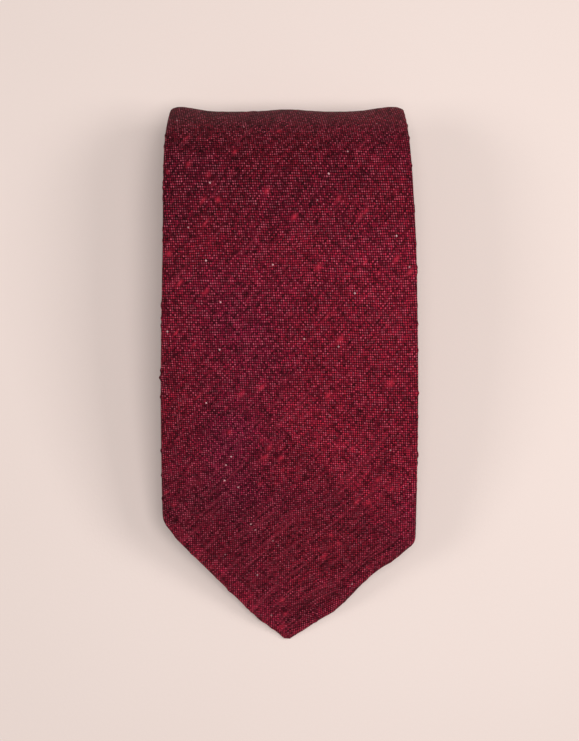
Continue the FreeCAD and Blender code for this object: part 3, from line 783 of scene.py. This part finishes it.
for index, (label, *_) in enumerate(JOINTS):
    low, high = CUTS[index], CUTS[index + 1]
    rows = rows_between(low, high, STEP)
    if index == 0:
        rows = np.concatenate([TIP_ROWS, rows_between(1.0, high, STEP)])
    made = silk("silk_" + label, BLADE, WINDOW if index == 0 else None, rows, SEAM_X, same, SILK)
    across_joint(made, index)
    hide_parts("blade_silk_" + label)
    inner_rows = rows_between(max(low, 4.0), high, 2.0)
    lining = band("interlining_" + label, inner_rows, blade_wool_half, -WOOL_HALF, WOOL_HALF, surface,
                  WOOL)
    across_joint(lining, index)
    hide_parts("blade_interlining_" + label)


ROLL_STEP = 1.1
SQUARE_TAIL = 16.5
TAIL_HEM = 3.0 * math.sqrt(2)
TAIL_APEX = 2 * SQUARE_TAIL - 1.4
TAIL_WINDOW = (TAIL_HEM, TAIL_APEX, (TAIL_APEX - TAIL_HEM) / 2)
SEAM_LEAN = 0.8                             # slant of the seams between the lengths
LEAN_REACH = 60                             # how far from a seam the cloth's rows still lean


def wound_silk(name, low, high, nodes, low_lean=0.0, high_lean=0.0, pointed=False):
    """A length of folded silk in the roll. Its ends lean to the 45 degree seams that join the lengths."""
    if pointed:
        tail = Outline(SQUARE_TAIL, lambda t: half_width(TOTAL - t), 1.2)
        rows = np.concatenate([TIP_ROWS, rows_between(1.2, TOTAL - low, ROLL_STEP)])
        made = silk(name, tail, TAIL_WINDOW, rows, 0.0, lambda t: TOTAL - t, SILK, relief=False,
                    shear=lambda t: -low_lean * smooth(TOTAL - low - LEAN_REACH, TOTAL - low, t))
    else:
        def lean(t):
            start = low_lean * (1 - smooth(low, low + LEAN_REACH, t))
            return start + high_lean * smooth(high - LEAN_REACH, high, t)

        rows = rows_between(low, high, ROLL_STEP)
        seam_x = SEAM_X if low < BLADE_END - 1 else 0.0
        made = silk(name, BLADE, None, rows, seam_x, same, SILK, relief=False, shear=lean)
    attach(made, "roll")
    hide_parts(*nodes)
    return made


wound_silk("silk_blade_wound", CUTS[-1], BLADE_END, ["blade_silk_wound"], 0.0, SEAM_LEAN)
wound_silk("silk_neck", BLADE_END, NECK_END, ["neck_silk"], SEAM_LEAN, SEAM_LEAN)
wound_silk("silk_tail", NECK_END, TOTAL, ["tail_silk"], SEAM_LEAN, pointed=True)


def roll_place(x, s, n):
    """Where (x, s, n) lies in the roll."""
    return place(x + drift(s), s, n)


def wound_lining(name, low, high, node):
    """A length of interlining in the roll."""
    made = band(name, rows_between(low, high, 3.0), lambda s: half_width(s) - 1.3, -WOOL_HALF, WOOL_HALF,
                roll_place, WOOL)
    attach(made, "roll")
    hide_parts(node)


def tail_place(x, s, n):
    """The tail's end, with s measured from its tip."""
    return place(x + drift(TOTAL - s), TOTAL - s, n)


wound_lining("interlining_blade_wound", CUTS[-1], WOOL_JOIN - 0.5, "blade_interlining_wound")
wound_lining("interlining_tail", WOOL_JOIN + 0.5, TOTAL - 15, "tail_interlining")

# ------------------------------------------------------------------ sewn to the back
BACK = -HALF
SLIP_SPACING = 5.2
TACK_LENGTH = 7.0


def window_panel(name, window, apex_x, depth, to_point, margin, count, nodes):
    """The lining of a point: a square on its corner, tucked under the hem and the flaps."""
    low, _, side = window
    t = np.linspace(-margin, 1 + margin, count)
    a, b = t[:, None], t[None, :]
    s = low + (a + b) * side
    x = (b - a) * side + apex_x * np.clip(a + b - 1, 0, 1)
    points = to_point(x, s, BACK + depth + 0 * x)
    uv = np.stack([x, s], axis=-1).reshape(-1, 2)
    made = make_mesh(name, points.reshape(-1, 3), grid_faces(count, count), uv, None, LINING)
    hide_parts(*nodes)
    return made


def hem_stitches(name, window, spacing, to_point, node):
    """Short slanting stitches from the hem into the lining of a point."""
    low, _, side = window
    lines = []
    for side_sign in (-1, 1):
        for k in range(1, int(side * 0.94 / spacing)):
            x, s = k * spacing, low + k * spacing
            lines.append(stitch(side_sign * (x + 0.45), s - 0.65, side_sign * (x + 0.15), s + 0.55,
                                BACK - 0.02, 0.22, to_point))
    made = threads(name, lines, 0.11, THREAD)
    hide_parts(node)
    return made


def slip_stitches(name, low, high, seam_x, to_point, node=None):
    """The stitches that close the folded silk: short, slanting, one every few millimetres."""
    lines = []
    for k in range(int((high - low) / SLIP_SPACING)):
        s = low + 2.0 + SLIP_SPACING * k
        free = 1 - float(on_roll(s + 6))
        lines.append(stitch(seam_x - 0.75, s - 0.5, seam_x + 0.8, s + 0.8, BACK + 0.06 - 0.10 * free,
                            0.16 * free, to_point))
    made = threads(name, lines, 0.12, THREAD)
    if node:
        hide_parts(node)
    return made


def bar_tack(name, x0, s0, to_point, node, body):
    """A bar of thread wound closely round itself, across the seam."""
    turns, steps = 15, 14
    t = np.linspace(0, 1, turns * steps)
    angle = 2 * math.pi * turns * t
    x = x0 - TACK_LENGTH / 2 + TACK_LENGTH * t
    line = to_point(x, s0 + 0.42 * np.cos(angle), BACK - 0.32 + 0.34 * np.sin(angle))
    core = stitch(x0 - 3.6, s0, x0 + 3.6, s0, BACK - 0.3, 0.05, to_point, 12)
    made = threads(name, [line, core], 0.20, THREAD)
    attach(made, body)
    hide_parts(node)


def ribbon(name, x0, x1, s0, s1, centre, thick, to_point, material, body, node):
    """A flat piece across the back: its section is a thin rounded oblong, and centre(x) is its offset."""
    rings, sides = 60, 28
    u = np.linspace(0, 1, rings)[:, None]
    angle = np.linspace(0, 2 * math.pi, sides, endpoint=False)[None, :]
    c, k = np.cos(angle), np.sin(angle)
    s = (s0 + s1) / 2 + (s1 - s0) / 2 * np.sign(c) * np.abs(c) ** 0.25
    shut = np.minimum(1.0, 0.25 + 14 * np.minimum(u, 1 - u))
    x = x0 + (x1 - x0) * u + 0 * s
    n = centre(x) + thick / 2 * np.sign(k) * np.abs(k) ** 0.6 * shut
    points = to_point(x, s + 0 * u, n)
    uv = np.stack([x, s + 0 * u], axis=-1).reshape(-1, 2)
    faces = grid_faces(rings, sides, closed=True)
    made = make_mesh(name, points.reshape(-1, 3), faces, uv, None, material)
    close_ends(made, rings, sides)
    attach(made, body)
    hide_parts(node)
    return made


tipping = window_panel("tipping_blade", WINDOW, SEAM_X, 0.42, surface, 0.025, 120,
                       ["blade_tipping", "blade_tipping_top"])
across_joint(tipping, 0)
across_joint(hem_stitches("tipping_stitches_blade", WINDOW, 3.1, surface, "blade_tipping_stitches"), 0)
across_joint(slip_stitches("slip_stitches_point", APEX + 5, CUTS[1], SEAM_X, surface), 0)
for index in range(1, 5):
    label = JOINTS[index][0]
    across_joint(slip_stitches("slip_stitches_" + label, CUTS[index], CUTS[index + 1], SEAM_X, surface,
                               "slip_thread_" + label), index)
for name, low, high, seam_x, node in (("wound", CUTS[-1], BLADE_END, SEAM_X, "slip_thread_wound"),
                                      ("neck", BLADE_END + 30, NECK_END - 20, 0.0, "slip_thread_neck"),
                                      ("tail", NECK_END + 20, TOTAL - 36, 0.0, "slip_thread_tail")):
    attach(slip_stitches("slip_stitches_" + name, low, high, seam_x, roll_place, node), "roll")

bar_tack("bar_tack_blade", SEAM_X, APEX + 2.6, surface, "blade_bar_tack", "blade_middle")
bar_tack("bar_tack_tail", 0.0, TOTAL - 2 * SQUARE_TAIL - 1.5, roll_place, "tail_bar_tack", "roll")

tail_lining = window_panel("tipping_tail", TAIL_WINDOW, 0.0, 0.42, tail_place, 0.05, 40, ["tail_tipping"])
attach(tail_lining, "roll")
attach(hem_stitches("tipping_stitches_tail", TAIL_WINDOW, 2.4, tail_place, "tail_tipping_stitches"), "roll")

KEEPER_S = 115.0                            # middle of the keeper, from the tip
KEEPER_HALF = 5.5                           # half of its width
KEEPER_LEFT, KEEPER_RIGHT = -25.0, 23.5
LABEL_S = 99.0                              # middle of both labels


def keeper_offset(x):
    """The keeper's slack: it stands off the back between its stitched ends."""
    return BACK - 0.42 - 1.25 * (1 - np.abs((x - SEAM_X / 2) / 24.0) ** 4).clip(0, 1) ** 0.8


keeper = ribbon("keeper_band", KEEPER_LEFT, KEEPER_RIGHT, KEEPER_S - KEEPER_HALF, KEEPER_S + KEEPER_HALF,
                keeper_offset, 0.62, surface, SILK, "blade_middle", "keeper_loop")
keeper_lines = []
for side_x, sign in ((KEEPER_LEFT, -1), (KEEPER_RIGHT, 1)):
    for k in range(5):
        s = KEEPER_S - 4.2 + 2.1 * k
        keeper_lines.append(stitch(side_x - sign * 1.1, s, side_x + sign * 0.9, s + 0.3, BACK - 0.55, 0.35,
                                   surface))
keeper_ends = threads("keeper_end_stitches", keeper_lines, 0.13, THREAD)
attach(keeper_ends, "blade_middle")
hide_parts("keeper_stitches")


def label_offset(x):
    """A label lies on the back, a little uneven."""
    return BACK - 0.24 + 0.05 * np.sin(x * 0.45)


maker = ribbon("label_blank", -19 + SEAM_X / 2, 17 + SEAM_X / 2, LABEL_S - 6.5, LABEL_S + 6.5, label_offset,
               0.24, surface, RIBBON, "blade_middle", "maker_label")
ribbon("care_label_blank", 20.5, 33.5, LABEL_S - 4.5, LABEL_S + 4.5, label_offset, 0.22, surface,
       CARE, "blade_middle", "care_label")
label_lines = []
for side_x, sign, reach, count in ((-20.1, -1, 5.0, 7), (15.9, 1, 5.0, 7), (21.8, -1, 3.2, 5)):
    for k in range(count):
        s = LABEL_S - reach + 2 * reach * k / (count - 1)
        label_lines.append(stitch(side_x, s - 0.5, side_x, s + 0.5, BACK - 0.34, 0.12, surface))
label_ends = threads("label_end_stitches", label_lines, 0.10, THREAD)
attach(label_ends, "blade_middle")
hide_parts("label_stitches")


def cross_seam(name, at, node):
    """Stitches of a slanting seam that joins two lengths, on both faces."""
    lines = []
    for face in (HALF, BACK):
        half = float(half_width(at)) - 1.5
        for x in np.arange(-half, half, 2.2):
            lines.append(stitch(x, at + SEAM_LEAN * x, x + 1.5, at + SEAM_LEAN * (x + 1.5),
                                face - 0.05 * np.sign(face), 0.0, roll_place))
    made = threads(name, lines, 0.07, THREAD)
    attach(made, "roll")
    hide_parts(node)


cross_seam("seam_blade_to_neck", BLADE_END, "blade_to_neck_stitches")
cross_seam("seam_neck_to_tail", NECK_END, "neck_to_tail_stitches")
join_lines = []
for x in np.arange(-16, 16, 2.0):
    join_lines.append(stitch(x, WOOL_JOIN - 0.9, x + 1.2, WOOL_JOIN + 0.9, 0.42, 0.0, roll_place))
join = threads("interlining_join", join_lines, 0.07, THREAD)
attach(join, "roll")
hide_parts("interlining_join_stitches")


def declare_silk(half, low, high, open_area=0.0):
    """The flat cut of a folded length: its front and its back, which is as wide, less the open window."""
    rows = np.linspace(low, high, 400)
    width = 4 * float(np.max(half(rows)))
    area = float(np.trapz(4 * half(rows), rows)) - open_area


def declare_lengths():
    """Works out the width and area of every silk length's cut, which are not kept. The care label is
    narrower than a sheet may be, so it goes with its silk.
    """
    for index, (label, *_) in enumerate(JOINTS):
        declare_silk(BLADE.half, CUTS[index], CUTS[index + 1],
                     2 * WINDOW[2] ** 2 if index == 0 else 0.0)
    declare_silk(half_width, CUTS[-1], BLADE_END)
    declare_silk(half_width, BLADE_END, NECK_END)
    declare_silk(half_width, NECK_END, TOTAL - SQUARE_TAIL)


declare_lengths()

# ------------------------------------------------------------------ table, light and camera
DAYLIGHT = (1.0, 0.955, 0.93)
SENSOR = 36.0                               # in mm
HEIGHT = 0.609                              # of the camera above the table
FRAME_TALL = 0.2689                         # what it sees of the table from top to bottom


def add_plane(name, size, z, material):
    """A level square that belongs to the room."""
    half = size / 2
    corners = [(-half, -half, z), (half, -half, z), (half, half, z), (-half, half, z)]
    made = make_mesh(name, np.array(corners) * 1000, [[0, 1, 2, 3]], material=material, smooth_shading=False)


def table_surface():
    """Pale and matt, with a faint grain."""
    g = Graph("table")
    where = g.add("ShaderNodeTexCoord").outputs["Object"]
    cloud = g.noise(where, 6.0, 3.0)
    g.set(g.shader.inputs["Base Color"], g.mix(cloud, srgb(238, 224, 218), srgb(243, 230, 225)))
    g.set(g.shader.inputs["Normal"], g.bump(g.noise(where, 900.0, 3.0), 0.00005))
    g.shader.inputs["Roughness"].default_value = 0.75
    g.shader.inputs["Specular IOR Level"].default_value = 0.25
    return g.material


def soft_light(name, place_at, size, power):
    """A square lamp turned towards the tie."""
    data = bpy.data.lights.new(name, "AREA")
    data.shape = "RECTANGLE"
    data.size = size
    data.size_y = size
    data.energy = power
    data.color = DAYLIGHT
    made = bpy.data.objects.new(name, data)
    bpy.context.scene.collection.objects.link(made)
    made.location = place_at
    made.rotation_euler = (-Vector(place_at)).to_track_quat("-Z", "Y").to_euler()


add_plane("table", 6.0, 0.0, table_surface())
soft_light("overhead", (0.06, 0.02, 0.85), 0.30, 3.9)
soft_light("window_right", (0.35, 0.06, 0.53), 0.25, 1.15)
soft_light("window_left", (-0.90, 0.02, 1.10), 0.50, 3.4)
bpy.context.scene.view_settings.view_transform = "Standard"
world = bpy.data.worlds.new("room")
world.use_nodes = True
background = world.node_tree.nodes["Background"]
background.inputs["Color"].default_value = (1.0, 0.96, 0.94, 1.0)
background.inputs["Strength"].default_value = 0.14
bpy.context.scene.world = world

camera_data = bpy.data.cameras.new("camera")
camera_data.sensor_fit = "VERTICAL"
camera_data.sensor_height = SENSOR
camera_data.lens = SENSOR * HEIGHT / FRAME_TALL
camera = bpy.data.objects.new("camera", camera_data)
camera.location = (0.0, 0.0045, HEIGHT)
bpy.context.scene.collection.objects.link(camera)
bpy.context.scene.camera = camera
